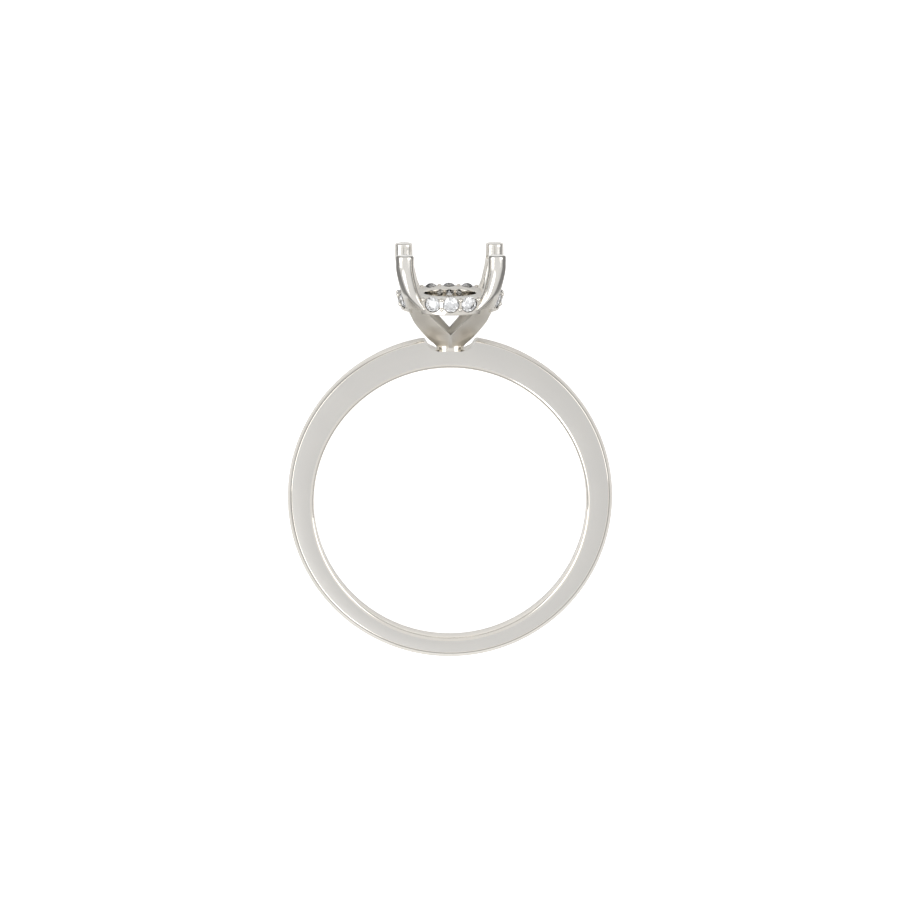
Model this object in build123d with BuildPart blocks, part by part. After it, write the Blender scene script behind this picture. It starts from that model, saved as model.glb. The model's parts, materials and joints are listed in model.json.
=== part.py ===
from build123d import *
from math import asin, atan2, cos, degrees, hypot, pi, radians, sin, sqrt, tan
import os

# Semi mount ring: a plain domed shank that thins towards its back carries an open four-prong
# head, whose basket holds a hidden halo of small round stones. The centre stone is not fitted.
# The ring is drawn with the finger hole along Z and the head towards +Y. Pieces of the head are
# drawn with the head's own axis along Z, their heights counted from the middle of the hole.
# Last of all the ring is laid down as it rests, on two beads of the halo and the back of the shank.
# All sizes are in millimetres and degrees.

# Finger hole and shank
finger_radius = 8.65
shank_width = 1.8
shank_top = 1.98
shank_bottom = 1.38
dome_top = 0.13
dome_bottom = 0.36
comfort_radius = 0.25
rim_radius = 0.06

# Saddle cut into the shank under the head
saddle_floor = 1.09
saddle_floor_half = 0.80
saddle_cove_half = 1.36
saddle_cove_rise = 0.25
saddle_mouth_half = 1.60
saddle_mouth_rise = 0.63
saddle_lip_half = 2.15
saddle_lip_rise = 0.88
saddle_round = 0.35
lip_round = 0.15

# Head and its four prongs
head_height = 6.43
stem_half = 0.68
root_depth = 0.25
collar_radius = 0.84
collar_height = 0.33
prong_circle = 4.10
prong_width = 1.12
tip_round = 0.12
blade_thickness = 0.62
blade_corner = 0.15
seam_gap = 0.06
window_rise = 1.18
window_slope = 46.0

# Seat notches for a round centre stone
centre_stone_radius = 3.75
centre_stone_rise = 5.50
crown_angle = 34.0
pavilion_angle = 41.0

# Hidden halo: a round rail with small stones on its flared outer face
rail_rise = 3.14
rail_height = 1.04
rail_inner = 1.66
rail_outer = 3.24
rail_flare = 12.0
rail_round = 0.08
recess_reach = 2.70
recess_half = 0.50
recess_rise = 0.36
stone_radius = 0.50
stone_lift = 0.17
stone_pitch = 21.0
stones_a_side = 3
stone_clearance = 0.03
table_proud = 0.03
back_hole_radius = 0.21
bead_radius = 0.14
bead_rise = 0.31

# Cut of a small round brilliant, as shares of its radius
table_share = 0.57
star_share = 0.76
crown_share = 0.30
girdle_share = 0.08
pavilion_share = 0.86
lower_share = 0.25
facets = 8

head_sides = 4
side_angle = 360 / head_sides
half_width = shank_width / 2
crest_radius = finger_radius + (shank_top + shank_bottom) / 2
crest_shift = (shank_top - shank_bottom) / 2
edge_radius = crest_radius - (dome_top + dome_bottom) / 2
edge_shift = crest_shift + (dome_bottom - dome_top) / 2
head_base = finger_radius + saddle_floor
tip_height = head_base + head_height
tip_reach = prong_circle + prong_width / 2
rail_middle = head_base + rail_rise

# A prong from its root to its tip. At the root the four prongs close into one square stem,
# then they part as wide thin blades, and above the rail they are nearly round.
# Columns: share of the head's height, outer face, thickness, half width, corner radius.
prong_rows = [
    (-root_depth / head_height, stem_half, 1.10 * stem_half, stem_half - seam_gap, blade_corner),
    (0.03, stem_half, 1.10 * stem_half, stem_half - seam_gap, blade_corner),
    (0.11, 0.328 * rail_outer, 0.285 * rail_outer, 0.328 * rail_outer - seam_gap, blade_corner),
    (0.19, 0.432 * rail_outer, 1.26 * blade_thickness, 0.432 * rail_outer - seam_gap, blade_corner),
    (0.29, 0.648 * rail_outer, 1.03 * blade_thickness, 0.401 * rail_outer, blade_corner),
    (0.39, 0.845 * rail_outer, 1.06 * blade_thickness, 0.343 * rail_outer, 1.30 * blade_corner),
    (0.49, 1.068 * rail_outer, 0.74 * prong_width, 0.68 * prong_width, 0.28 * prong_width),
    (0.60, 0.869 * tip_reach, 0.92 * prong_width, 0.52 * prong_width, 0.42 * prong_width),
    (0.73, 0.950 * tip_reach, prong_width, 0.50 * prong_width, 0.47 * prong_width),
    (0.85, 0.995 * tip_reach, prong_width, 0.50 * prong_width, 0.47 * prong_width),
    (0.92, tip_reach, prong_width, 0.50 * prong_width, 0.47 * prong_width),
]


def sideways_reach(row):
    """How far a prong section stands out from the head's axis, seen square to the shank."""
    share, outer, thickness, half, corner = row
    middle = outer - thickness / 2
    flats = thickness / 2 + half - 2 * corner
    return (middle + flats) / sqrt(2) + corner


def face_plane(angle, rise):
    """A plane on the rail's flared outer face, its normal pointing out of the head."""
    turn = radians(angle)
    flare = radians(rail_flare)
    radius = rail_outer + rise * sin(flare)
    height = rail_middle + rise * cos(flare)
    return Plane(
        origin=(radius * cos(turn), radius * sin(turn), height),
        x_dir=(-sin(turn), cos(turn), 0),
        z_dir=(cos(flare) * cos(turn), cos(flare) * sin(turn), -sin(flare)),
    )


def is_mouth(corner):
    """Whether a corner of the saddle's outline is where its wall turns over into the lip."""
    return abs(corner.Y - head_base - saddle_mouth_rise) < lip_round / 2


stone_steps = [n - (stones_a_side - 1) / 2 for n in range(stones_a_side)]
stone_angles = [side * side_angle + step * stone_pitch for side in range(head_sides) for step in stone_steps]
bead_steps = [n - stones_a_side / 2 for n in range(stones_a_side + 1)]
bead_angles = [side * side_angle + step * stone_pitch for side in range(head_sides) for step in bead_steps]

# Where a small stone's girdle lies under the rail's face, and how deep its point reaches
crown_height = crown_share * stone_radius
girdle_height = girdle_share * stone_radius
pavilion_depth = pavilion_share * stone_radius
girdle_depth = crown_height - table_proud

# The shank: the outline of each flat side face, with the crest of the dome between them
with BuildPart() as shank:
    for across, shift, radius in (
        (-half_width, edge_shift, edge_radius),
        (0, crest_shift, crest_radius),
        (half_width, edge_shift, edge_radius),
    ):
        with BuildSketch(Plane.XY.offset(across)):
            with Locations((0, shift)):
                Circle(radius)
    loft()
    side_rims = shank.edges().group_by(Axis.Z)
    fillet([side_rims[0], side_rims[-1]], rim_radius)
    with BuildSketch(Plane.XY):
        Circle(finger_radius)
    extrude(amount=shank_width, both=True, mode=Mode.SUBTRACT)
    hole_rims = shank.edges().filter_by(GeomType.CIRCLE).filter_by(
        lambda edge: abs(edge.radius - finger_radius) < rim_radius / 2
    )
    fillet(hole_rims, comfort_radius)
    with BuildSketch(Plane.XY) as saddle:
        with BuildLine():
            Polyline(
                (0, head_base),
                (saddle_floor_half, head_base),
                (saddle_cove_half, head_base + saddle_cove_rise),
                (saddle_mouth_half, head_base + saddle_mouth_rise),
                (saddle_lip_half, head_base + saddle_lip_rise),
                (saddle_lip_half, tip_height),
                (0, tip_height),
                close=True,
            )
        make_face()
        mirror(about=Plane.YZ)
        corners = saddle.vertices().group_by(Axis.Y)
        fillet([corners[0], corners[1]], saddle_round)
        fillet(saddle.vertices().filter_by(is_mouth), lip_round)
    extrude(amount=shank_width, both=True, mode=Mode.SUBTRACT)

# One prong, its radial direction along X, with a straight tip on top of its curved leg
with BuildPart() as prong:
    share, outer, thickness, half, corner = prong_rows[-1]
    with BuildSketch(Plane.XY.offset(tip_height)):
        with Locations((outer - thickness / 2, 0)):
            RectangleRounded(thickness, 2 * half, corner)
    extrude(amount=-(1 - share) * head_height)
    fillet(prong.faces().sort_by(Axis.Z)[-1].edges(), tip_round)
    for share, outer, thickness, half, corner in prong_rows:
        with BuildSketch(Plane.XY.offset(head_base + share * head_height)):
            with Locations((outer - thickness / 2, 0)):
                RectangleRounded(thickness, 2 * half, corner)
    loft()
    notch_height = head_base + centre_stone_rise
    notch_depth = prong_width / 2
    with BuildSketch(Plane.XZ):
        with BuildLine():
            Polyline(
                (centre_stone_radius, notch_height),
                (centre_stone_radius - notch_depth, notch_height + notch_depth * tan(radians(crown_angle))),
                (centre_stone_radius - notch_depth, notch_height - notch_depth * tan(radians(pavilion_angle))),
                close=True,
            )
        make_face()
    revolve(axis=Axis.Z, mode=Mode.SUBTRACT)
    window_height = rail_rise - rail_height / 2 + rail_round - window_rise
    window_half = window_height / tan(radians(window_slope))
    for turn in (-side_angle / 2, side_angle / 2):
        across = (-sin(radians(turn)), cos(radians(turn)), 0)
        along = (cos(radians(turn)), sin(radians(turn)), 0)
        with BuildSketch(Plane(origin=(0, 0, head_base + window_rise), x_dir=across, z_dir=along)):
            Polygon((0, 0), (window_half, window_height), (-window_half, window_height), align=None)
        extrude(amount=2 * rail_outer, both=True, mode=Mode.SUBTRACT)

# What is drilled away for one small stone, its own axis along Z and the rail's face at zero
seat_radius = stone_radius + stone_clearance
seat_floor = girdle_depth + girdle_height + stone_clearance
cone_end = seat_floor + pavilion_depth * (1 - back_hole_radius / stone_radius)
with BuildPart() as seat_drill:
    with BuildSketch(Plane.XZ):
        with BuildLine():
            Polyline(
                (0, stone_radius),
                (seat_radius, stone_radius),
                (seat_radius, -seat_floor),
                (back_hole_radius, -cone_end),
                (0, -cone_end),
                close=True,
            )
        make_face()
    revolve(axis=Axis.Z)

# The rail of the hidden halo, with its stone seats and the beads that hold the stones. Its lower
# edge is cut back behind each prong, whose own outer face runs on unbroken there.
with BuildPart() as rail:
    with BuildSketch(Plane.XZ) as rail_section:
        flare_reach = tan(radians(rail_flare)) * rail_height / 2
        with BuildLine():
            Polyline(
                (rail_inner, rail_middle - rail_height / 2),
                (rail_outer - flare_reach, rail_middle - rail_height / 2),
                (rail_outer + flare_reach, rail_middle + rail_height / 2),
                (rail_inner, rail_middle + rail_height / 2),
                close=True,
            )
        make_face()
        fillet(rail_section.vertices(), rail_round)
    revolve(axis=Axis.Z)
    seats = [face_plane(angle, stone_lift).location for angle in stone_angles]
    rises = [stone_lift + bead_rise, stone_lift - bead_rise]
    beads = [face_plane(angle, rise).location for angle in bead_angles for rise in rises]
    point_depth = girdle_depth + girdle_height + pavilion_depth
    hole_rise = stone_lift * cos(radians(rail_flare)) + sin(radians(rail_flare)) * (cone_end + point_depth) / 2
    hole_start = rail_inner - 2 * rail_round
    hole_end = rail_outer - cos(radians(rail_flare)) * (seat_floor + cone_end) / 2
    back_holes = [
        Plane(
            origin=(0, 0, rail_middle + hole_rise),
            x_dir=(0, 0, 1),
            z_dir=(cos(radians(angle)), sin(radians(angle)), 0),
        ).offset((hole_start + hole_end) / 2).location
        for angle in stone_angles
    ]
    recess_middle = rail_middle - rail_height / 2 + recess_rise - rail_height / 2
    with PolarLocations(0, head_sides, start_angle=side_angle / 2):
        with Locations((recess_reach + rail_height / 2, 0, recess_middle)):
            Box(rail_height, 2 * recess_half, rail_height, mode=Mode.SUBTRACT)
    with Locations(*seats):
        add(seat_drill.part, mode=Mode.SUBTRACT)
    with Locations(*back_holes):
        Cylinder(back_hole_radius, hole_end - hole_start, mode=Mode.SUBTRACT)
    with Locations(*beads):
        Sphere(bead_radius)

# One small stone: table, star, bezel and half facets above the girdle, and mains and halves below
with BuildPart() as stone:
    facet_turn = 2 * pi / facets
    girdle_top = girdle_height / 2
    star_drop = (star_share * cos(facet_turn / 2) - table_share) / (1 - table_share)
    points = [(0, 0, -girdle_top - pavilion_depth)]
    for step in range(facets):
        main = step * facet_turn
        between = main + facet_turn / 2
        rings = [
            (main, table_share, girdle_top + crown_height),
            (between, star_share, girdle_top + crown_height * (1 - star_drop)),
            (main, 1, girdle_top),
            (between, 1, girdle_top),
            (main, 1, -girdle_top),
            (between, 1, -girdle_top),
            (between, lower_share, -girdle_top - pavilion_depth * (1 - lower_share * cos(facet_turn / 2))),
        ]
        for turn, share, height in rings:
            points.append((share * stone_radius * cos(turn), share * stone_radius * sin(turn), height))
    ConvexPolyhedron(points)

# The ring at rest: it leans on the back edge of the shank and on two beads of the halo, which
# reach a little lower than the prongs do
back_edge = edge_radius - edge_shift
prong_tops = [row for row in prong_rows if row[0] * head_height > rail_rise]
prong_lean = max(
    atan2(sideways_reach(row) - half_width, head_base + row[0] * head_height + back_edge)
    for row in prong_tops
)
low_bead = face_plane(stone_pitch / 2, stone_lift + bead_rise).origin
bead_side = low_bead.X - half_width
bead_along = low_bead.Z + back_edge
bead_lean = atan2(bead_side, bead_along) + asin(bead_radius / hypot(bead_side, bead_along))
lean = max(prong_lean, bead_lean)
tip_end = tip_height * cos(lean) + sideways_reach(prong_rows[-1]) * sin(lean)
back_end = -(crest_radius - crest_shift) * cos(lean)
hole_height = back_edge * sin(lean) + half_width * cos(lean)
rest = Location((0, -(tip_end + back_end) / 2, hole_height), (degrees(lean), 0, 0))
head_axis = Plane(origin=(0, 0, 0), x_dir=(1, 0, 0), z_dir=(0, 1, 0)).location
print("finger hole centre", rest.position, "lean in degrees", degrees(lean))

# The round collar at the foot of the stem
with BuildPart() as collar:
    with BuildSketch(Plane.XY.offset(head_base + collar_height)):
        Circle(collar_radius)
    extrude(amount=-(collar_height + root_depth))

# The soldered metal: shank, stem collar, prongs and rail
os.makedirs("parts", exist_ok=True)
with BuildPart() as ring_mount:
    with Locations(rest * head_axis):
        with PolarLocations(0, head_sides, start_angle=side_angle / 2):
            add(prong.part)
        add([rail.part, collar.part])
    with Locations(rest):
        add(shank.part)
ring_mount.part.label = "ring_mount"
export_step(ring_mount.part, "parts/ring_mount.step")
print("ring_mount", ring_mount.part.volume, ring_mount.part.is_valid, len(ring_mount.part.solids()))

for number, angle in enumerate(stone_angles, start=1):
    girdle_plane = face_plane(angle, stone_lift).offset(-girdle_depth)
    with BuildPart() as halo_stone:
        with Locations(rest * head_axis * girdle_plane.location):
            add(stone.part)
    halo_stone.part.label = f"halo_stone_{number:02d}"
    export_step(halo_stone.part, f"parts/halo_stone_{number:02d}.step")
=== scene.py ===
# %% [markdown]
# A semi mount is a finished ring without its centre stone. This one lies on its side, as it would
# by itself, and the picture looks down on it along the finger. The lesson dresses the packed
# solids of the ring: it loads them, models each part of the metal again with clean faces that
# take a polish well, gives every finish its own material, and sets up a small white studio.

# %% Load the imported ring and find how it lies
import json
from math import atan2, cos, degrees, pi, radians, sin, tan

import bmesh
import bpy
from mathutils import Matrix, Vector


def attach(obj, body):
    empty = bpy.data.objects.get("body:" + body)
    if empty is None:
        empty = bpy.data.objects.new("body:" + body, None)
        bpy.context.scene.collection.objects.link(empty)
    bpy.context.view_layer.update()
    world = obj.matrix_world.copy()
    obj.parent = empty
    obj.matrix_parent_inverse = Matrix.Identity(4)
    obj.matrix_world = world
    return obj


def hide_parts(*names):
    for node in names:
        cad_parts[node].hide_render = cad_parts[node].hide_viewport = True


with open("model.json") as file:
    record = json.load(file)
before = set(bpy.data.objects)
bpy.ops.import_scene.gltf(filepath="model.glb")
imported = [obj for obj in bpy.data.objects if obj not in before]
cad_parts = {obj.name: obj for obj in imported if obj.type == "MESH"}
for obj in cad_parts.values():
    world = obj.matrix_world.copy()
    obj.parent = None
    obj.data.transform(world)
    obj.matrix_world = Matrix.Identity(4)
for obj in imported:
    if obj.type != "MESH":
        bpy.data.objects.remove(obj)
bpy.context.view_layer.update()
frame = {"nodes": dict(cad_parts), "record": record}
finger_hole = next(mount for mount in frame["record"]["mounts"] if mount["name"] == "finger_hole")
hole_centre = Vector(finger_hole["pos_m"])
hole_axis = Vector(finger_hole["axis"])
lean = atan2(-hole_axis.y, hole_axis.z)
print("nodes", len(frame["nodes"]), "the ring leans by", round(degrees(lean), 2), "degrees")

# %% [markdown]
# A bench jeweller thinks in millimetres and measures from the middle of the finger hole. Blender
# thinks in metres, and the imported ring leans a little, because its head is wider than its band.
# Two matrices carry every piece over: one for the shank, drawn with the finger along Z, and one
# for the head, drawn with its own axis along Z. The place of a finished piece is in its mesh.

# %% Two places to draw in
MM = 0.001
WELD = 0.0004
SHARP_ABOVE = radians(32)
shank_place = Matrix.Translation(hole_centre) @ Matrix.Rotation(lean, 4, "X") @ Matrix.Scale(MM, 4)
head_place = shank_place @ Matrix.Rotation(radians(-90), 4, "X")


def to_object(bm, name):
    """Weld a closed shell, turn its faces outwards and make it an object where it was drawn."""
    bmesh.ops.remove_doubles(bm, verts=bm.verts, dist=WELD)
    bmesh.ops.recalc_face_normals(bm, faces=bm.faces)
    mesh = bpy.data.meshes.new(name)
    bm.to_mesh(mesh)
    bm.free()
    piece = bpy.data.objects.new(name, mesh)
    bpy.context.scene.collection.objects.link(piece)
    return piece


def drill(piece, cutter):
    """Take the cutter's shape out of the piece, and throw the cutter away."""
    cut = piece.modifiers.new("drill", "BOOLEAN")
    cut.operation = "DIFFERENCE"
    cut.solver = "EXACT"
    cut.object = cutter
    depsgraph = bpy.context.evaluated_depsgraph_get()
    whole = piece.data
    drilled = bpy.data.meshes.new_from_object(piece.evaluated_get(depsgraph))
    piece.modifiers.clear()
    piece.data = drilled
    bpy.data.meshes.remove(whole)
    bpy.data.objects.remove(cutter)


def settle(piece, place, finishes):
    """Put a finished mesh where it belongs on the ring, shade it and let it ride on the ring."""
    piece.data.transform(place)
    for finish in finishes:
        piece.data.materials.append(finish)
    piece.data.shade_smooth()
    piece.data.set_sharp_from_angle(angle=SHARP_ABOVE)
    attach(piece, "root")
    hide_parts("ring_mount")
    print(piece.name, "has", len(piece.data.polygons), "faces")


def only_verts(geometry):
    """The vertices among the items that an operator gives back."""
    return [item for item in geometry if isinstance(item, bmesh.types.BMVert)]


# %% [markdown]
# White gold comes off the polishing wheel bright, but never perfect: a low haze, hair-fine
# scratches and a trace of grain stay in it. The flat sides of this shank were left satin. All
# its finishes need the same patterns at different strengths, so those are built once, as a node
# group with named inputs, and each material places it with its own values.

# %% A node group for the marks of the polishing bench
def add_node(tree, kind, **values):
    """A node with some of its sockets set by name."""
    node = tree.nodes.new(kind)
    for name, value in values.items():
        node.inputs[name.replace("_", " ")].default_value = value
    return node


def map_range(tree, source=(0.0, 1.0), target=(0.0, 1.0)):
    """A node that carries one range of values over to another."""
    node = tree.nodes.new("ShaderNodeMapRange")
    for name, value in zip(("From Min", "From Max", "To Min", "To Max"), (*source, *target)):
        node.inputs[name].default_value = value
    return node


def bench_marks():
    """Grain, cloud and scratch patterns on object coordinates, each from 0 to 1."""
    group = bpy.data.node_groups.new("bench marks", "ShaderNodeTree")
    for name in ("Grain Scale", "Cloud Scale", "Scratch Scale"):
        group.interface.new_socket(name=name, in_out="INPUT", socket_type="NodeSocketFloat")
    for name in ("Grain", "Cloud", "Scratches"):
        group.interface.new_socket(name=name, in_out="OUTPUT", socket_type="NodeSocketFloat")
    inlet = group.nodes.new("NodeGroupInput")
    outlet = group.nodes.new("NodeGroupOutput")
    place = group.nodes.new("ShaderNodeTexCoord")
    grain = add_node(group, "ShaderNodeTexNoise", Detail=3.0, Roughness=0.6)
    cloud = add_node(group, "ShaderNodeTexNoise", Detail=2.0, Roughness=0.5)
    stretch = add_node(
        group, "ShaderNodeMapping", Scale=(1.0, 0.05, 1.0), Rotation=(0.0, 0.0, 0.5)
    )
    scratch = add_node(group, "ShaderNodeTexNoise", Detail=4.0, Roughness=0.7)
    thin = map_range(group, source=(0.60, 0.72))
    join = group.links.new
    join(place.outputs["Object"], grain.inputs["Vector"])
    join(place.outputs["Object"], cloud.inputs["Vector"])
    join(place.outputs["Object"], stretch.inputs["Vector"])
    join(stretch.outputs["Vector"], scratch.inputs["Vector"])
    join(inlet.outputs["Grain Scale"], grain.inputs["Scale"])
    join(inlet.outputs["Cloud Scale"], cloud.inputs["Scale"])
    join(inlet.outputs["Scratch Scale"], scratch.inputs["Scale"])
    join(scratch.outputs["Fac"], thin.inputs["Value"])
    join(grain.outputs["Fac"], outlet.inputs["Grain"])
    join(cloud.outputs["Fac"], outlet.inputs["Cloud"])
    join(thin.outputs["Result"], outlet.inputs["Scratches"])
    return group


marks = bench_marks()
print("bench marks has", len(marks.nodes), "nodes")

# %% [markdown]
# A metal's colour is the colour of its reflections. White gold is a warm grey, and it warms
# further where it reflects itself, in the corners of the head. The cloud pattern moves that
# colour and the roughness a little over millimetres, the scratches add thin rough lines, and the
# grain feeds a shallow bump. The prongs were polished by hand in a narrow place, so they are a
# little hazier than the shank, and hazier still at their blades, where no wheel reaches. The
# satin sides are much rougher, with a deeper grain. Their tint is also much darker than the
# polished metal's, which paints shade on to the flat sides of the shank.

# %% Three finishes of the white gold
def new_material(name):
    """A material, its node tree and its main shader."""
    material = bpy.data.materials.new(name)
    material.use_nodes = True
    return material, material.node_tree, material.node_tree.nodes["Principled BSDF"]


def colour_mix(tree, first, second):
    """A node that runs from one colour to another by its factor."""
    mix = tree.nodes.new("ShaderNodeMix")
    mix.data_type = "RGBA"
    mix.inputs["A"].default_value = (*first, 1.0)
    mix.inputs["B"].default_value = (*second, 1.0)
    return mix


def gold_finish(
    name, tint, deep_tint, smooth, rough, grain_scale, grain_depth, scratch_weight, foot=None
):
    """White gold whose roughness runs from smooth to rough, with more of it towards a foot."""
    finish, tree, metal = new_material(name)
    metal.inputs["Metallic"].default_value = 1.0
    made = tree.nodes.new("ShaderNodeGroup")
    made.node_tree = marks
    made.inputs["Grain Scale"].default_value = grain_scale
    made.inputs["Cloud Scale"].default_value = 420.0
    made.inputs["Scratch Scale"].default_value = 9000.0
    colour = colour_mix(tree, tint, deep_tint)
    haze = map_range(tree, source=(0.3, 0.7), target=(smooth, rough))
    lines = tree.nodes.new("ShaderNodeMath")
    lines.operation = "MULTIPLY_ADD"
    lines.inputs[1].default_value = scratch_weight
    bump = add_node(tree, "ShaderNodeBump", Strength=0.5, Distance=grain_depth)
    join = tree.links.new
    join(made.outputs["Cloud"], colour.inputs["Factor"])
    join(colour.outputs["Result"], metal.inputs["Base Color"])
    join(made.outputs["Cloud"], haze.inputs["Value"])
    join(made.outputs["Scratches"], lines.inputs[0])
    join(haze.outputs["Result"], lines.inputs[2])
    join(made.outputs["Grain"], bump.inputs["Height"])
    join(bump.outputs["Normal"], metal.inputs["Normal"])
    if foot is None:
        join(lines.outputs["Value"], metal.inputs["Roughness"])
    else:
        foot_y, clear_y, foot_roughness = foot
        place = tree.nodes.new("ShaderNodeTexCoord")
        along = tree.nodes.new("ShaderNodeSeparateXYZ")
        brushed = map_range(tree, source=(foot_y, clear_y), target=(foot_roughness, 0.0))
        total = tree.nodes.new("ShaderNodeMath")
        join(place.outputs["Object"], along.inputs["Vector"])
        join(along.outputs["Y"], brushed.inputs["Value"])
        join(lines.outputs["Value"], total.inputs[0])
        join(brushed.outputs["Result"], total.inputs[1])
        join(total.outputs["Value"], metal.inputs["Roughness"])
    return finish


polished = gold_finish(
    "polished white gold",
    tint=(0.86, 0.83, 0.78),
    deep_tint=(0.81, 0.77, 0.70),
    smooth=0.07,
    rough=0.12,
    grain_scale=14000.0,
    grain_depth=0.0000006,
    scratch_weight=0.05,
)
hazy = gold_finish(
    "hazy white gold",
    tint=(0.86, 0.84, 0.80),
    deep_tint=(0.81, 0.78, 0.73),
    smooth=0.12,
    rough=0.18,
    grain_scale=16000.0,
    grain_depth=0.000001,
    scratch_weight=0.06,
    foot=(hole_centre.y + 11.4 * MM, hole_centre.y + 13.0 * MM, 0.28),
)
# The satin tint is much darker than the polished tint: it is painted shade on the flat sides, not
# a colour of the metal.
satin_and_painted_shade = gold_finish(
    "satin white gold with painted shade",
    tint=(0.69, 0.675, 0.65),
    deep_tint=(0.65, 0.633, 0.60),
    smooth=0.30,
    rough=0.38,
    grain_scale=22000.0,
    grain_depth=0.000004,
    scratch_weight=0.06,
)
print("finishes:", polished.name, "and", hazy.name, "and", satin_and_painted_shade.name)

# %% [markdown]
# The shank is a band with flat sides, a domed back and a round finger hole. Its outside isn't
# concentric with the hole, so the band is thickest at the head and thins towards the back. That
# rules out a plain spin, which has one section all round. The band is described instead as a list
# of rings, up the wall of the hole, across the flat side, over the dome and back, and each ring
# has its own radius and its own small shift towards the head.

# %% Sizes of the shank
finger_radius = 8.65
half_width = 0.9
comfort = 0.25
rim = 0.06
crest_radius, crest_shift = 10.33, 0.30
edge_radius, edge_shift = 10.085, 0.415


def dome_ring(across):
    """Radius, shift and place across the band of a ring on the domed back."""
    drop = (across / half_width) ** 2
    radius = crest_radius + (edge_radius - crest_radius) * drop
    shift = crest_shift + (edge_shift - crest_shift) * drop
    return radius, shift, across


def half_band_rings(arc_steps=6, rim_steps=5, dome_steps=9):
    """Rings from the wall of the hole to the crest of the dome, on the upper half of the band."""
    rings = []
    for step in range(arc_steps + 1):
        turn = pi / 2 * step / arc_steps
        radius = finger_radius + comfort * (1 - cos(turn))
        rings.append((radius, 0.0, half_width - comfort * (1 - sin(turn))))
    start = (edge_radius - rim, edge_shift, half_width)
    corner = (edge_radius, edge_shift, half_width)
    end = dome_ring(half_width - rim)
    for step in range(rim_steps + 1):
        t = step / rim_steps
        pulls = ((start, (1 - t) ** 2), (corner, 2 * t * (1 - t)), (end, t**2))
        rings.append(tuple(sum(weight * ring[i] for ring, weight in pulls) for i in range(3)))
    for step in range(1, dome_steps + 1):
        rings.append(dome_ring((half_width - rim) * (1 - step / dome_steps)))
    return rings


upper_rings = half_band_rings()
lower_rings = [(radius, shift, -across) for radius, shift, across in reversed(upper_rings[:-1])]
band_rings = upper_rings + lower_rings + upper_rings[:1]
print("the band walks through", len(band_rings), "rings")

# %% [markdown]
# A single circle is drawn on the first ring and walks through the list. At each step its edges
# are extruded, and the new ones are scaled and shifted to fit the next ring. It ends on the ring
# where it began, and the weld closes the band. This keeps every face a clean square-cornered
# strip, so the long reflections run round the band without a ripple.

# %% Walk a circle round the band's section
def walk_rings(bm, rings, segments):
    """Extrude a circle from ring to ring, and scale and shift it to fit each one."""
    radius, shift, across = rings[0]
    first = bmesh.ops.create_circle(
        bm, segments=segments, radius=radius, matrix=Matrix.Translation((0, shift, across))
    )["verts"]
    edges = list({edge for vert in first for edge in vert.link_edges})
    for ring in rings[1:]:
        made = bmesh.ops.extrude_edge_only(bm, edges=edges)["geom"]
        verts = only_verts(made)
        fresh = set(verts)
        edges = [
            item
            for item in made
            if isinstance(item, bmesh.types.BMEdge) and fresh.issuperset(item.verts)
        ]
        grow = ring[0] / radius
        bmesh.ops.scale(
            bm, vec=(grow, grow, 1), space=Matrix.Translation((0, -shift, -across)), verts=verts
        )
        bmesh.ops.translate(bm, vec=(0, ring[1] - shift, ring[2] - across), verts=verts)
        radius, shift, across = ring


band = bmesh.new()
walk_rings(band, band_rings, segments=288)
shank = to_object(band, "shank")

# %% [markdown]
# Under the head the band is cut away to a saddle: a flat floor for the stem, two coves and a
# lip where each cove runs out on to the dome. The saddle is drawn once as an outline, its
# corners are rounded with a vertex bevel, and the outline is pushed through the band. The faces
# that are left flat on both sides of the band take the satin finish, whose darker tint paints
# shade on them.

# %% Cut the saddle
head_base = finger_radius + 1.09
floor_half, cove_x, lip_x, end_x = 0.80, 1.36, 1.60, 2.15
cove_y, lip_y, end_y, open_y = 0.25, 0.63, 0.88, 3.0
saddle_round, lip_round = 0.35, 0.15
saddle_outline = [
    (-floor_half, 0.0, saddle_round),
    (floor_half, 0.0, saddle_round),
    (cove_x, cove_y, saddle_round),
    (lip_x, lip_y, lip_round),
    (end_x, end_y, 0.0),
    (end_x, open_y, 0.0),
    (-end_x, open_y, 0.0),
    (-end_x, end_y, 0.0),
    (-lip_x, lip_y, lip_round),
    (-cove_x, cove_y, saddle_round),
]


def round_corners(bm, corners, offset, steps):
    """Bevel corners of a flat face into arcs that begin at the offset from each corner."""
    bmesh.ops.bevel(
        bm,
        geom=corners,
        offset=offset,
        offset_type="OFFSET",
        segments=steps,
        profile=0.5,
        material=-1,
        affect="VERTICES",
    )


def rounded_face(bm, outline, steps):
    """A flat face from (x, y, corner radius) points, each corner bevelled to its radius."""
    corners = [bm.verts.new((x, y, 0)) for x, y, radius in outline]
    bm.faces.new(corners)
    spots = [corner.co.copy() for corner in corners]
    for index, (corner, (x, y, radius)) in enumerate(zip(corners, outline)):
        if radius:
            coming = spots[index] - spots[index - 1]
            going = spots[(index + 1) % len(spots)] - spots[index]
            round_corners(bm, [corner], radius * tan(coming.angle(going) / 2), steps)


def pushed_outline(outline, steps, depth):
    """A bar along Z with the outline as its section, half its depth to each side."""
    bm = bmesh.new()
    rounded_face(bm, outline, steps)
    bmesh.ops.translate(bm, vec=(0, 0, -depth / 2), verts=bm.verts)
    pushed = bmesh.ops.extrude_face_region(bm, geom=bm.faces[:])["geom"]
    bmesh.ops.translate(bm, vec=(0, 0, depth), verts=only_verts(pushed))
    return bm


saddle = pushed_outline(saddle_outline, steps=8, depth=3 * half_width)
bmesh.ops.translate(saddle, vec=(0, head_base, 0), verts=saddle.verts)
drill(shank, to_object(saddle, "saddle_cutter"))
for face in shank.data.polygons:
    face.material_index = int(abs(abs(face.center.z) - half_width) < WELD)
settle(shank, shank_place, (polished, satin_and_painted_shade))

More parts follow.
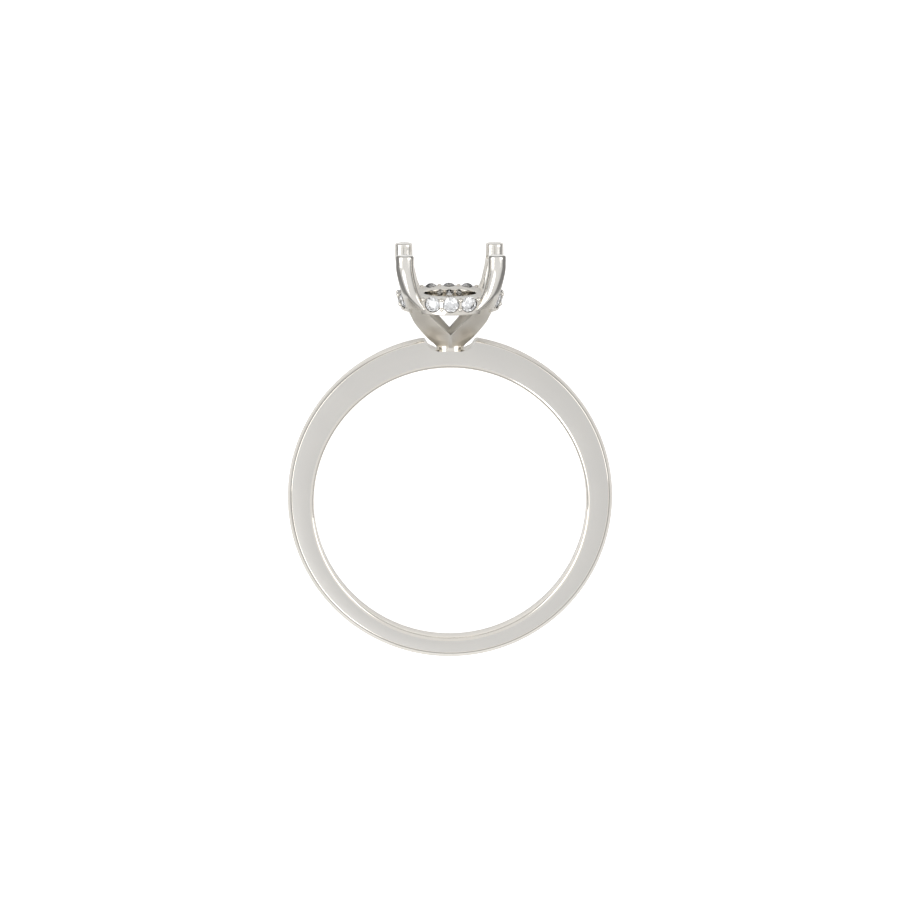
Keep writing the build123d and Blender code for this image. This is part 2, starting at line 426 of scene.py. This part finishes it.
# %% [markdown]
# Each prong starts as one quarter of a square stem, opens into a broad thin blade, and ends
# nearly round above the rail. Such a form is a stack of rounded rectangles. The bench sizes are
# given at a few heights above the saddle's floor, and a smooth curve through them gives the many
# sections between. Each section is a rectangle with its corners bevelled.

# %% Sections of a prong
head_height = 6.43
tip_round = 0.12
straight = head_height - tip_round
prong_rows = [
    (-0.25, 0.68, 0.748, 0.62, 0.15),
    (0.193, 0.68, 0.748, 0.62, 0.15),
    (0.707, 1.063, 0.923, 1.003, 0.15),
    (1.222, 1.400, 0.781, 1.340, 0.15),
    (1.865, 2.100, 0.639, 1.299, 0.15),
    (2.508, 2.738, 0.657, 1.111, 0.195),
    (3.151, 3.460, 0.829, 0.762, 0.314),
    (3.858, 4.050, 1.030, 0.582, 0.470),
    (4.694, 4.427, 1.120, 0.560, 0.526),
    (5.466, 4.637, 1.120, 0.560, 0.526),
    (5.916, 4.660, 1.120, 0.560, 0.526),
    (straight, 4.660, 1.120, 0.560, 0.526),
]


def row_at(height):
    """Outer face, thickness, half width and corner radius, on a smooth curve through the rows."""
    last = len(prong_rows) - 1
    here = max(i for i in range(last) if prong_rows[i][0] <= height + WELD)
    low, high = prong_rows[here], prong_rows[here + 1]
    before, after = prong_rows[max(here - 1, 0)], prong_rows[min(here + 2, last)]
    span = high[0] - low[0]
    t = (height - low[0]) / span
    values = []
    for column in range(1, 5):
        slope_low = (high[column] - before[column]) / (high[0] - before[0]) * span
        slope_high = (after[column] - low[column]) / (after[0] - low[0]) * span
        values.append(
            (2 * t**3 - 3 * t**2 + 1) * low[column]
            + (t**3 - 2 * t**2 + t) * slope_low
            + (3 * t**2 - 2 * t**3) * high[column]
            + (t**3 - t**2) * slope_high
        )
    return values


def section_loop(bm, height, outer, thickness, half, corner, steps=7):
    """The edges of one rounded rectangle at a height, its outer side at the given reach."""
    before = set(bm.edges)
    place = Matrix.Translation((outer - thickness / 2, 0, head_base + height))
    shape = place @ Matrix.Diagonal((thickness / 2, half, 1, 1))
    square = bmesh.ops.create_grid(bm, x_segments=1, y_segments=1, size=1.0, matrix=shape)["verts"]
    round_corners(bm, square, corner, steps)
    return [edge for edge in bm.edges if edge not in before]


print("a prong is given at", len(prong_rows), "heights")

# %% [markdown]
# The sections are bridged in pairs, from the stem's root to the tip. Over the last 0.12 mm they
# shrink along a quarter circle, which rounds the edge of the tip as a file would. Bridging gives
# even rows of faces only where every loop has the same number of corners, and the bevels see to
# that, because each one has the same number of steps.

# %% Bridge the sections into one prong
section_steps, tip_steps = 56, 5
root = prong_rows[0][0]
prong = bmesh.new()
heights = [root + (straight - root) * step / section_steps for step in range(section_steps + 1)]
sections = [(height, *row_at(min(height, straight - WELD))) for height in heights]
outer, thickness, half, corner = prong_rows[-1][1:]
for step in range(1, tip_steps + 1):
    turn = pi / 2 * step / tip_steps
    inset = tip_round * (1 - cos(turn))
    height = straight + tip_round * sin(turn)
    sections.append((height, outer - inset, thickness - 2 * inset, half - inset, corner - inset))
loops = [section_loop(prong, *section) for section in sections]
bmesh.ops.delete(prong, geom=prong.faces[:], context="FACES_ONLY")
for lower, upper in zip(loops, loops[1:]):
    bmesh.ops.bridge_loops(prong, edges=lower + upper)
bmesh.ops.edgeloop_fill(prong, edges=loops[0])
bmesh.ops.edgeloop_fill(prong, edges=loops[-1])
prongs = to_object(prong, "prongs")
print("a prong has", len(sections), "sections")

# %% [markdown]
# A mount is sold with its seat started: a small notch on the inner side of each prong, at the
# height where the girdle of the centre stone will lie. The cutting bur is a wheel with a sharp
# rim, so its shape is a triangle spun round the head's axis. Below the halo each side of the head
# is sawn open in a V, straight through, so light passes from side to side. Both cuts are made in
# a single prong, while it still points along X.

# %% Notch one prong and saw its half of two windows
girdle_height = head_base + 5.50
girdle_radius = 3.75
bur_depth = 0.56
crown_slope, pavilion_slope = tan(radians(34)), tan(radians(41))


def spin_round(bm, geom, steps):
    """Spin vertices and edges once round Z into a closed surface."""
    bmesh.ops.spin(
        bm, geom=geom, cent=(0, 0, 0), axis=(0, 0, 1), angle=2 * pi, steps=steps, use_merge=True
    )


bur = bmesh.new()
bur_points = [
    (girdle_radius, girdle_height),
    (girdle_radius - bur_depth, girdle_height + bur_depth * crown_slope),
    (girdle_radius - bur_depth, girdle_height - bur_depth * pavilion_slope),
]
bur_face = bur.faces.new([bur.verts.new((radius, 0, height)) for radius, height in bur_points])
bmesh.ops.delete(bur, geom=[bur_face], context="FACES_ONLY")
spin_round(bur, bur.verts[:] + bur.edges[:], steps=160)
drill(prongs, to_object(bur, "seat_bur"))

window_foot = head_base + 1.18
window_height = 1.52
window_half = window_height / tan(radians(46))
window_depth = 13
window_outline = [(0, 0, 0), (window_half, window_height, 0), (-window_half, window_height, 0)]
upright = Matrix(((0, 0, 1, 0), (1, 0, 0, 0), (0, 1, 0, 0), (0, 0, 0, 1)))
for turn in (-45, 45):
    saw = pushed_outline(window_outline, steps=1, depth=window_depth)
    foot = Matrix.Translation((0, 0, window_foot))
    stand = foot @ Matrix.Rotation(radians(turn), 4, "Z") @ upright
    bmesh.ops.transform(saw, matrix=stand, verts=saw.verts)
    drill(prongs, to_object(saw, "window_saw"))

# %% [markdown]
# The cut prong is then copied round the head, a quarter turn apart, starting half way between
# the sides, so that all four are exactly alike. An array modifier would do as well, but here the
# four are one mesh from the start.

# %% Set four prongs round the head
ring_of_prongs = bmesh.new()
ring_of_prongs.from_mesh(prongs.data)
half_way = Matrix.Rotation(radians(45), 3, "Z")
bmesh.ops.rotate(ring_of_prongs, cent=(0, 0, 0), matrix=half_way, verts=ring_of_prongs.verts)
one_prong = ring_of_prongs.verts[:] + ring_of_prongs.edges[:] + ring_of_prongs.faces[:]
for quarter in (1, 2, 3):
    copied = bmesh.ops.duplicate(ring_of_prongs, geom=one_prong)["geom"]
    on_round = Matrix.Rotation(quarter * pi / 2, 3, "Z")
    bmesh.ops.rotate(ring_of_prongs, cent=(0, 0, 0), matrix=on_round, verts=only_verts(copied))
ring_of_prongs.to_mesh(prongs.data)
ring_of_prongs.free()
settle(prongs, head_place, (hazy,))

# %% [markdown]
# The hidden halo sits on a rail, a broad round band between the prongs whose outer face flares
# outwards to show its stones to the side. A jeweller turns such a rail from a tube. In the same
# way its section is drawn once here and spun round the head's axis.

# %% Spin the rail
rail_middle = head_base + 3.14
rail_half = 0.52
rail_inner, rail_outer = 1.66, 3.24
rail_flare = radians(12)
rail_round = 0.08
flare_reach = tan(rail_flare) * rail_half
rail_outline = [
    (rail_inner, -rail_half, rail_round),
    (rail_outer - flare_reach, -rail_half, rail_round),
    (rail_outer + flare_reach, rail_half, rail_round),
    (rail_inner, rail_half, rail_round),
]
rail_bm = bmesh.new()
rounded_face(rail_bm, rail_outline, steps=5)
bmesh.ops.delete(rail_bm, geom=rail_bm.faces[:], context="FACES_ONLY")
stand_up = Matrix.Rotation(pi / 2, 3, "X")
bmesh.ops.rotate(rail_bm, cent=(0, 0, 0), matrix=stand_up, verts=rail_bm.verts)
bmesh.ops.translate(rail_bm, vec=(0, 0, rail_middle), verts=rail_bm.verts)
spin_round(rail_bm, rail_bm.verts[:] + rail_bm.edges[:], steps=240)
rail = to_object(rail_bm, "halo_rail")
print("the rail is", 2 * rail_half, "mm tall")

# %% [markdown]
# Each stone's seat is a drilled cylinder with a cone below it for the pavilion, and a small hole
# from the inside of the rail meets it, which lets light in. The seats are drilled together in one
# cut, and then the small holes, because two large cuts are much quicker than twenty-four.

# %% Drill the seats and the small holes behind them
stone_pitch, stone_lift = 21, 0.17
seat_radius, seat_mouth = 0.53, 0.5
seat_wall, seat_depth = 0.19, 0.44
hole_radius, hole_rise = 0.21, 0.273
hole_start, hole_end = 1.50, 2.93
stone_angles = [90 * side + step * stone_pitch for side in range(4) for step in (-1, 0, 1)]


def on_rail(angle, rise):
    """A place on the rail's flared face, its Z pointing out of the head."""
    turn = radians(angle)
    out = Vector((cos(rail_flare) * cos(turn), cos(rail_flare) * sin(turn), -sin(rail_flare)))
    along = Vector((-sin(turn), cos(turn), 0))
    radius = rail_outer + rise * sin(rail_flare)
    spot = Vector((radius * cos(turn), radius * sin(turn), rail_middle + rise * cos(rail_flare)))
    place = Matrix((along, out.cross(along), out)).transposed().to_4x4()
    place.translation = spot
    return place


drill_profile = [
    (0, seat_mouth),
    (seat_radius, seat_mouth),
    (seat_radius, -seat_wall),
    (hole_radius, -seat_depth),
    (0, -seat_depth),
]
drills = bmesh.new()
for angle in stone_angles:
    before = set(drills.verts)
    verts = [drills.verts.new((radius, 0, depth)) for radius, depth in drill_profile]
    edges = [drills.edges.new(pair) for pair in zip(verts, verts[1:])]
    spin_round(drills, verts + edges, steps=40)
    made = [vert for vert in drills.verts if vert not in before]
    bmesh.ops.transform(drills, matrix=on_rail(angle, stone_lift), verts=made)
drill(rail, to_object(drills, "seat_drills"))

punches = bmesh.new()
for angle in stone_angles:
    level = Matrix.Rotation(radians(angle), 4, "Z") @ Matrix.Rotation(pi / 2, 4, "Y")
    bmesh.ops.create_cone(
        punches,
        cap_ends=True,
        segments=32,
        radius1=hole_radius,
        radius2=hole_radius,
        depth=hole_end - hole_start,
        matrix=Matrix.Translation((0, 0, rail_middle + hole_rise))
        @ level
        @ Matrix.Translation((0, 0, (hole_start + hole_end) / 2)),
    )
drill(rail, to_object(punches, "hole_punches"))
print("drilled", len(stone_angles), "seats")

# %% [markdown]
# Where a prong passes, the lower edge of the rail is cut back behind it, so the outer face of the
# prong runs on unbroken from its blade to its tip. Four blocks, one at each prong, do that.

# %% Cut the rail back behind the prongs
recess_reach, recess_half, recess_rise = 2.70, 0.50, 0.36
block_size = 2 * rail_half
block_middle = (
    recess_reach + block_size / 2,
    0,
    rail_middle - rail_half + recess_rise - block_size / 2,
)
block_shape = Matrix.Diagonal((block_size, 2 * recess_half, block_size, 1))
blocks = bmesh.new()
for angle in (45, 135, 225, 315):
    block_place = Matrix.Rotation(radians(angle), 4, "Z") @ Matrix.Translation(block_middle)
    bmesh.ops.create_cube(blocks, size=1.0, matrix=block_place @ block_shape)
drill(rail, to_object(blocks, "prong_recesses"))
print("the rail has", len(rail.data.polygons), "faces after the cuts")

# %% [markdown]
# Small round beads of metal, raised with a graver beside each seat and rounded with a beading
# tool, hold the stones down. They are half sunk in the rail, so whole spheres with few faces do,
# and they belong to the rail's own mesh. The upper ones make the rail's top edge wavy.

# %% Raise the beads
bead_radius, bead_rise = 0.14, 0.31
bead_steps = (-1.5, -0.5, 0.5, 1.5)
bead_angles = [90 * side + step * stone_pitch for side in range(4) for step in bead_steps]
beaded = bmesh.new()
beaded.from_mesh(rail.data)
for angle in bead_angles:
    for rise in (stone_lift + bead_rise, stone_lift - bead_rise):
        bmesh.ops.create_uvsphere(
            beaded, u_segments=20, v_segments=12, radius=bead_radius, matrix=on_rail(angle, rise)
        )
beaded.to_mesh(rail.data)
beaded.free()
settle(rail, head_place, (polished,))

# %% [markdown]
# The stem stands in a plain round collar, which hides the solder joint between head and shank.
# A low cylinder with a bevelled upper edge is all it needs.

# %% Add the collar
collar_radius, collar_height, root_depth = 0.84, 0.33, 0.25
collar_bevel = 0.05
collar_bm = bmesh.new()
bmesh.ops.create_cone(
    collar_bm,
    cap_ends=True,
    segments=96,
    radius1=collar_radius,
    radius2=collar_radius,
    depth=collar_height + root_depth,
    matrix=Matrix.Translation((0, 0, head_base + (collar_height - root_depth) / 2)),
)
top_edges = [edge for edge in collar_bm.edges if all(vert.co.z > head_base for vert in edge.verts)]
bmesh.ops.bevel(
    collar_bm,
    geom=top_edges,
    offset=collar_bevel,
    offset_type="OFFSET",
    segments=4,
    profile=0.5,
    material=-1,
    affect="EDGES",
)
settle(to_object(collar_bm, "stem_collar"), head_place, (polished,))

# %% [markdown]
# The halo stones are small round brilliants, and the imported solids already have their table,
# star, bezel, girdle and pavilion facets. They only need a clear material. Diamond bends light
# strongly, which the index of refraction sets. Faint cloudy zones of roughness stand for the
# film of handling that every real stone wears.

# %% The diamond material
diamond, tree, glass = new_material("clear diamond")
glass.inputs["Transmission Weight"].default_value = 1.0
glass.inputs["IOR"].default_value = 2.42
place = tree.nodes.new("ShaderNodeTexCoord")
film = add_node(tree, "ShaderNodeTexNoise", Scale=2500.0, Detail=2.0)
film_haze = map_range(tree, target=(0.0, 0.03))
film_tint = colour_mix(tree, (1.0, 1.0, 1.0), (0.95, 0.97, 1.0))
tree.links.new(place.outputs["Object"], film.inputs["Vector"])
tree.links.new(film.outputs["Fac"], film_haze.inputs["Value"])
tree.links.new(film_haze.outputs["Result"], glass.inputs["Roughness"])
tree.links.new(film.outputs["Fac"], film_tint.inputs["Factor"])
tree.links.new(film_tint.outputs["Result"], glass.inputs["Base Color"])
stones = [node for name, node in frame["nodes"].items() if name.startswith("halo_stone")]
for stone in stones:
    stone.data.materials.clear()
    stone.data.materials.append(diamond)
print("diamond given to", len(stones), "stones")

# %% [markdown]
# A polished ring shows little but its surroundings, so the studio makes half of its look. The
# ring lies on a white sheet. The sheet glows a little, as a lit light table does, so it stays
# white, and it glows more to the camera than in the metal, so the pale edges of the ring keep
# their tone. In the reflections alone it also turns dark a few millimetres out from the ring, as
# if black cards lay round it. That separates the polished back of the ring from the white. Two
# round zones, one round the hole and one round the head, give the border of those cards.

# %% The white sheet
sheet_half = 0.60
sheet_bm = bmesh.new()
bmesh.ops.create_grid(sheet_bm, x_segments=2, y_segments=2, size=sheet_half)
sheet = to_object(sheet_bm, "white_sheet")
paper, tree, surface = new_material("white paper")
surface.inputs["Roughness"].default_value = 0.85
surface.inputs["Emission Color"].default_value = (1.0, 1.0, 1.0, 1.0)
place = tree.nodes.new("ShaderNodeTexCoord")
seen = tree.nodes.new("ShaderNodeLightPath")
fibre = add_node(tree, "ShaderNodeTexNoise", Scale=900.0, Detail=4.0)
fibre_colour = colour_mix(tree, (0.84, 0.84, 0.84), (0.88, 0.88, 0.875))
card_colour = colour_mix(tree, (1.0, 1.0, 1.0), (0.16, 0.16, 0.16))
outside_both = tree.nodes.new("ShaderNodeMath")
outside_both.operation = "MULTIPLY"
unseen = tree.nodes.new("ShaderNodeMath")
unseen.operation = "SUBTRACT"
unseen.use_clamp = True
glow = tree.nodes.new("ShaderNodeMath")
glow.operation = "MULTIPLY_ADD"
glow.inputs[1].default_value = 0.80
glow.inputs[2].default_value = 0.04
join = tree.links.new
bright_zones = (
    (hole_centre.y, 12.2 * MM, 15.5 * MM),
    (hole_centre.y + 13.4 * MM, 5.5 * MM, 10.0 * MM),
)
for factor, (centre_y, start, end) in zip(outside_both.inputs, bright_zones):
    reach = tree.nodes.new("ShaderNodeVectorMath")
    reach.operation = "DISTANCE"
    reach.inputs[1].default_value = (0.0, centre_y, 0.0)
    outside = map_range(tree, source=(start, end))
    join(place.outputs["Object"], reach.inputs[0])
    join(reach.outputs["Value"], outside.inputs["Value"])
    join(outside.outputs["Result"], factor)
join(outside_both.outputs["Value"], unseen.inputs[0])
join(seen.outputs["Is Camera Ray"], unseen.inputs[1])
join(place.outputs["Object"], fibre.inputs["Vector"])
join(fibre.outputs["Fac"], fibre_colour.inputs["Factor"])
join(fibre_colour.outputs["Result"], card_colour.inputs["A"])
join(unseen.outputs["Value"], card_colour.inputs["Factor"])
join(card_colour.outputs["Result"], surface.inputs["Base Color"])
join(seen.outputs["Is Camera Ray"], glow.inputs[0])
join(glow.outputs["Value"], surface.inputs["Emission Strength"])
sheet.data.materials.append(paper)
print("sheet", round(2 * sheet_half, 2), "m wide")

# %% [markdown]
# Four square panels light the ring. The large ones to the left and the right make the broad
# bright bands on the prongs. One stands past the back of the band, high up, and a small one close
# by fills the blades. A lamp's power is spread over its area, so the helper works the power out
# from the brightness that the panel should have to look at, and a larger panel stays as bright.

# %% Panels of soft light
def panel(name, spot, size, brightness):
    """A square light panel that faces the ring, as bright to look at as the number says."""
    light = bpy.data.lights.new(name, "AREA")
    light.shape = "SQUARE"
    light.size = size
    light.energy = brightness * pi * size**2
    lamp = bpy.data.objects.new(name, light)
    lamp.location = spot
    lamp.rotation_euler = (-Vector(spot)).to_track_quat("-Z", "Y").to_euler()
    bpy.context.scene.collection.objects.link(lamp)
    print(name, round(light.energy, 3), "W")


panel("back_panel", (-0.16, -0.28, 0.36), size=0.16, brightness=1.5)
panel("left_panel", (-0.35, 0.08, 0.22), size=0.34, brightness=1.35)
panel("right_panel", (0.35, 0.10, 0.22), size=0.34, brightness=1.15)
panel("near_panel", (-0.045, -0.055, 0.08), size=0.05, brightness=1.2)

# %% [markdown]
# The room is a smooth run from dim at the horizon to light overhead. It is what the metal
# reflects. The camera itself sees a plain pale backdrop instead, because a Light Path node tells
# the rays that come straight from the camera from all others.

# %% The room
world = bpy.data.worlds.new("studio")
bpy.context.scene.world = world
world.use_nodes = True
tree = world.node_tree
room = tree.nodes["Background"]
backdrop = add_node(tree, "ShaderNodeBackground", Color=(0.97, 0.97, 0.97, 1.0))
heading = tree.nodes.new("ShaderNodeTexCoord")
split = tree.nodes.new("ShaderNodeSeparateXYZ")
fade = tree.nodes.new("ShaderNodeValToRGB")
ray = tree.nodes.new("ShaderNodeLightPath")
choose = tree.nodes.new("ShaderNodeMixShader")
stops = [(0.0, 0.12), (0.10, 0.26), (0.32, 0.76), (0.75, 0.85), (1.0, 0.85)]
ramp = fade.color_ramp.elements
while len(ramp) < len(stops):
    ramp.new(0.5)
for stop, (height, level) in zip(ramp, stops):
    stop.position = height
    stop.color = (level, level, level, 1.0)
tree.links.new(heading.outputs["Generated"], split.inputs["Vector"])
tree.links.new(split.outputs["Z"], fade.inputs["Fac"])
tree.links.new(fade.outputs["Color"], room.inputs["Color"])
tree.links.new(ray.outputs["Is Camera Ray"], choose.inputs["Fac"])
tree.links.new(room.outputs["Background"], choose.inputs[1])
tree.links.new(backdrop.outputs["Background"], choose.inputs[2])
tree.links.new(choose.outputs["Shader"], tree.nodes["World Output"].inputs["Surface"])
print("the room has", len(stops), "levels of light")

# %% [markdown]
# The camera stands far away with a long lens, as product cameras do, so the ring hardly shows
# perspective. It looks along the finger from a little above the head and a touch from the left,
# and the middle of its view lies just above the hole's centre, which leaves the head its room.

# %% The camera
picture_pixels, pixels_per_mm = 900, 15.74
view_pitch, view_turn = radians(9.2), radians(-1.1)
distance = 0.60
aim_height = 3.28 * MM
up = Vector((0, cos(lean), sin(lean)))
out = Vector((0, -sin(lean), cos(lean)))
pitched = up * sin(view_pitch) + out * cos(view_pitch)
away = (pitched * cos(view_turn) + Vector((sin(view_turn), 0, 0))).normalized()
side = up.cross(away).normalized()
lens = bpy.data.cameras.new("long_lens")
lens.sensor_width = 36.0
lens.lens = lens.sensor_width * distance / (picture_pixels / pixels_per_mm * MM)
lens.clip_start = 0.01
lens.clip_end = 10.0
camera = bpy.data.objects.new("camera", lens)
camera.location = hole_centre + up * aim_height + away * distance
camera.rotation_euler = Matrix((side, away.cross(side), away)).transposed().to_euler()
bpy.context.scene.collection.objects.link(camera)
bpy.context.scene.camera = camera
bpy.context.scene.view_settings.view_transform = "Standard"
print("lens", round(lens.lens, 1), "mm at", distance, "m")
